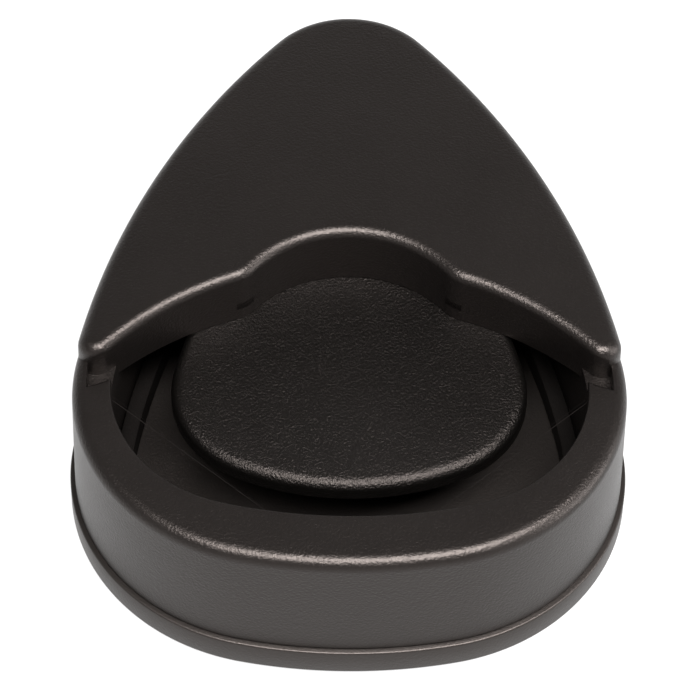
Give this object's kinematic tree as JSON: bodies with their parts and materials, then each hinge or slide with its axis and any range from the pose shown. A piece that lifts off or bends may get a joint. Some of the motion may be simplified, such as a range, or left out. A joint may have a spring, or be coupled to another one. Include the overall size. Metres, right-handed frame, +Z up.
{
  "type": "guitar pick holder",
  "caption": "Pick-shaped case with a raised hood, a thumb notch and a sprung platform that holds guitar picks, on a stick-on base.",
  "frame": {"origin": "centre of the footprint's bounding box, on the resting face under the release liner", "axes": "+X to the right seen from the open front, +Y from the open front to the tip, +Z up"},
  "size_m": [0.038, 0.0476, 0.0144],
  "materials": {
    "housing_black": "moulded ABS, satin with a fine grain",
    "base_black": "moulded ABS, satin with a fine grain",
    "platform_black": "moulded ABS, coarser spark-eroded grain",
    "spring_steel": "bright drawn spring wire",
    "foam_tape": "closed-cell foam tape, matte",
    "liner_paper": "silicone-coated paper, satin"
  },
  "bodies": {
    "case": {"housing": "housing_black", "base_plate": "base_black", "spring": "spring_steel", "adhesive_pad": "foam_tape", "release_liner": "liner_paper"},
    "platform": {"pick_platform": "platform_black"}
  },
  "joints": [
    {"name": "platform_press", "type": "slide", "parent": "case", "child": "platform", "axis": [0, 0, -1], "range_m": [0, 0.0042], "stiffness_N_per_m": 150, "springref_m": -0.003, "deforming": ["spring"]}
  ]
}
